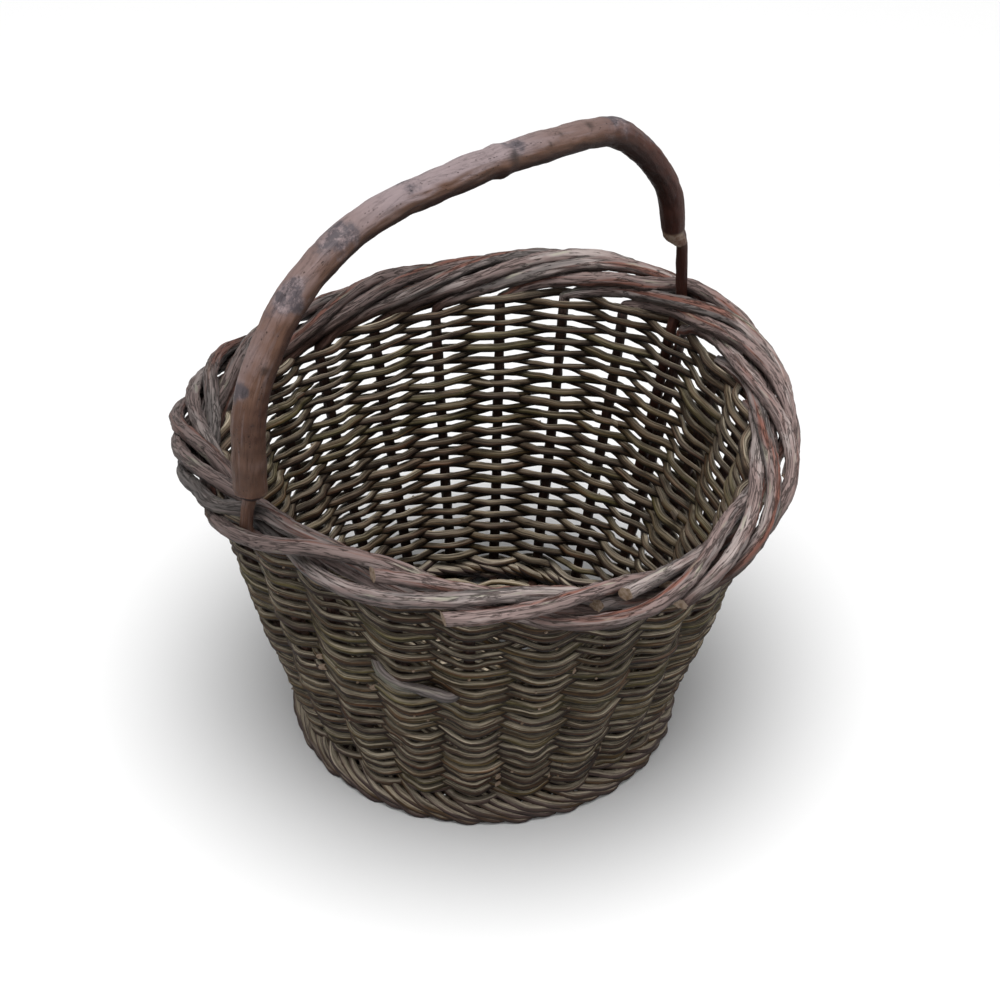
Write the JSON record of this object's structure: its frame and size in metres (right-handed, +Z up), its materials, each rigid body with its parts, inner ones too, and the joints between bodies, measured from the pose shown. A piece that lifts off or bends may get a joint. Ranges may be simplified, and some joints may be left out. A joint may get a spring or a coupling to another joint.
{
  "type": "mushroom foraging basket",
  "caption": "Round tapered willow basket for foraging, woven wall and base, rolled rod border, bow handle of bent branch.",
  "frame": {"origin": "on the ground under the centre of the round base", "axes": "+Z up; the bow handle stands over the X axis, its thick end at -X, its thin end at +X"},
  "size_m": [0.4058, 0.399, 0.4252],
  "materials": {
    "handle_bark": "natural bark, rubbed smooth",
    "stake_willow": "unpeeled willow, dry",
    "weaver_willow": "unpeeled willow, dry",
    "wale_willow": "unpeeled willow, dry",
    "base_willow": "unpeeled willow, dry"
  },
  "bodies": {
    "root": {"base_stick_1": "base_willow", "base_stick_2": "base_willow", "base_stick_3": "base_willow", "base_stick_4": "base_willow", "base_stick_5": "base_willow", "base_stick_6": "base_willow", "base_tie": "base_willow", "base_course_1": "base_willow", "base_course_2": "base_willow", "base_course_3": "base_willow", "base_course_4": "base_willow", "base_course_5": "base_willow", "foot_wale_rod_1": "wale_willow", "foot_wale_rod_2": "wale_willow", "foot_wale_rod_3": "wale_willow", "stake_01": "stake_willow", "stake_02": "stake_willow", "stake_03": "stake_willow", "stake_04": "stake_willow", "stake_05": "stake_willow", "stake_06": "stake_willow", "stake_07": "stake_willow", "stake_08": "stake_willow", "stake_09": "stake_willow", "stake_10": "stake_willow", "stake_11": "stake_willow", "stake_12": "stake_willow", "stake_13": "stake_willow", "stake_14": "stake_willow", "stake_15": "stake_willow", "stake_16": "stake_willow", "stake_17": "stake_willow", "stake_18": "stake_willow", "stake_19": "stake_willow", "stake_20": "stake_willow", "stake_21": "stake_willow", "stake_22": "stake_willow", "stake_23": "stake_willow", "stake_24": "stake_willow", "wall_course_01": "weaver_willow", "wall_course_02": "weaver_willow", "wall_course_03": "weaver_willow", "wall_course_04": "weaver_willow", "wall_course_05": "weaver_willow", "wall_course_06": "weaver_willow", "wall_course_07": "weaver_willow", "wall_course_08": "weaver_willow", "wall_course_09": "weaver_willow", "wall_course_10": "weaver_willow", "wall_course_11": "weaver_willow", "wall_course_12": "weaver_willow", "wall_course_13": "weaver_willow", "wall_course_14": "weaver_willow", "handle_bow": "handle_bark"}
  },
  "joints": []
}
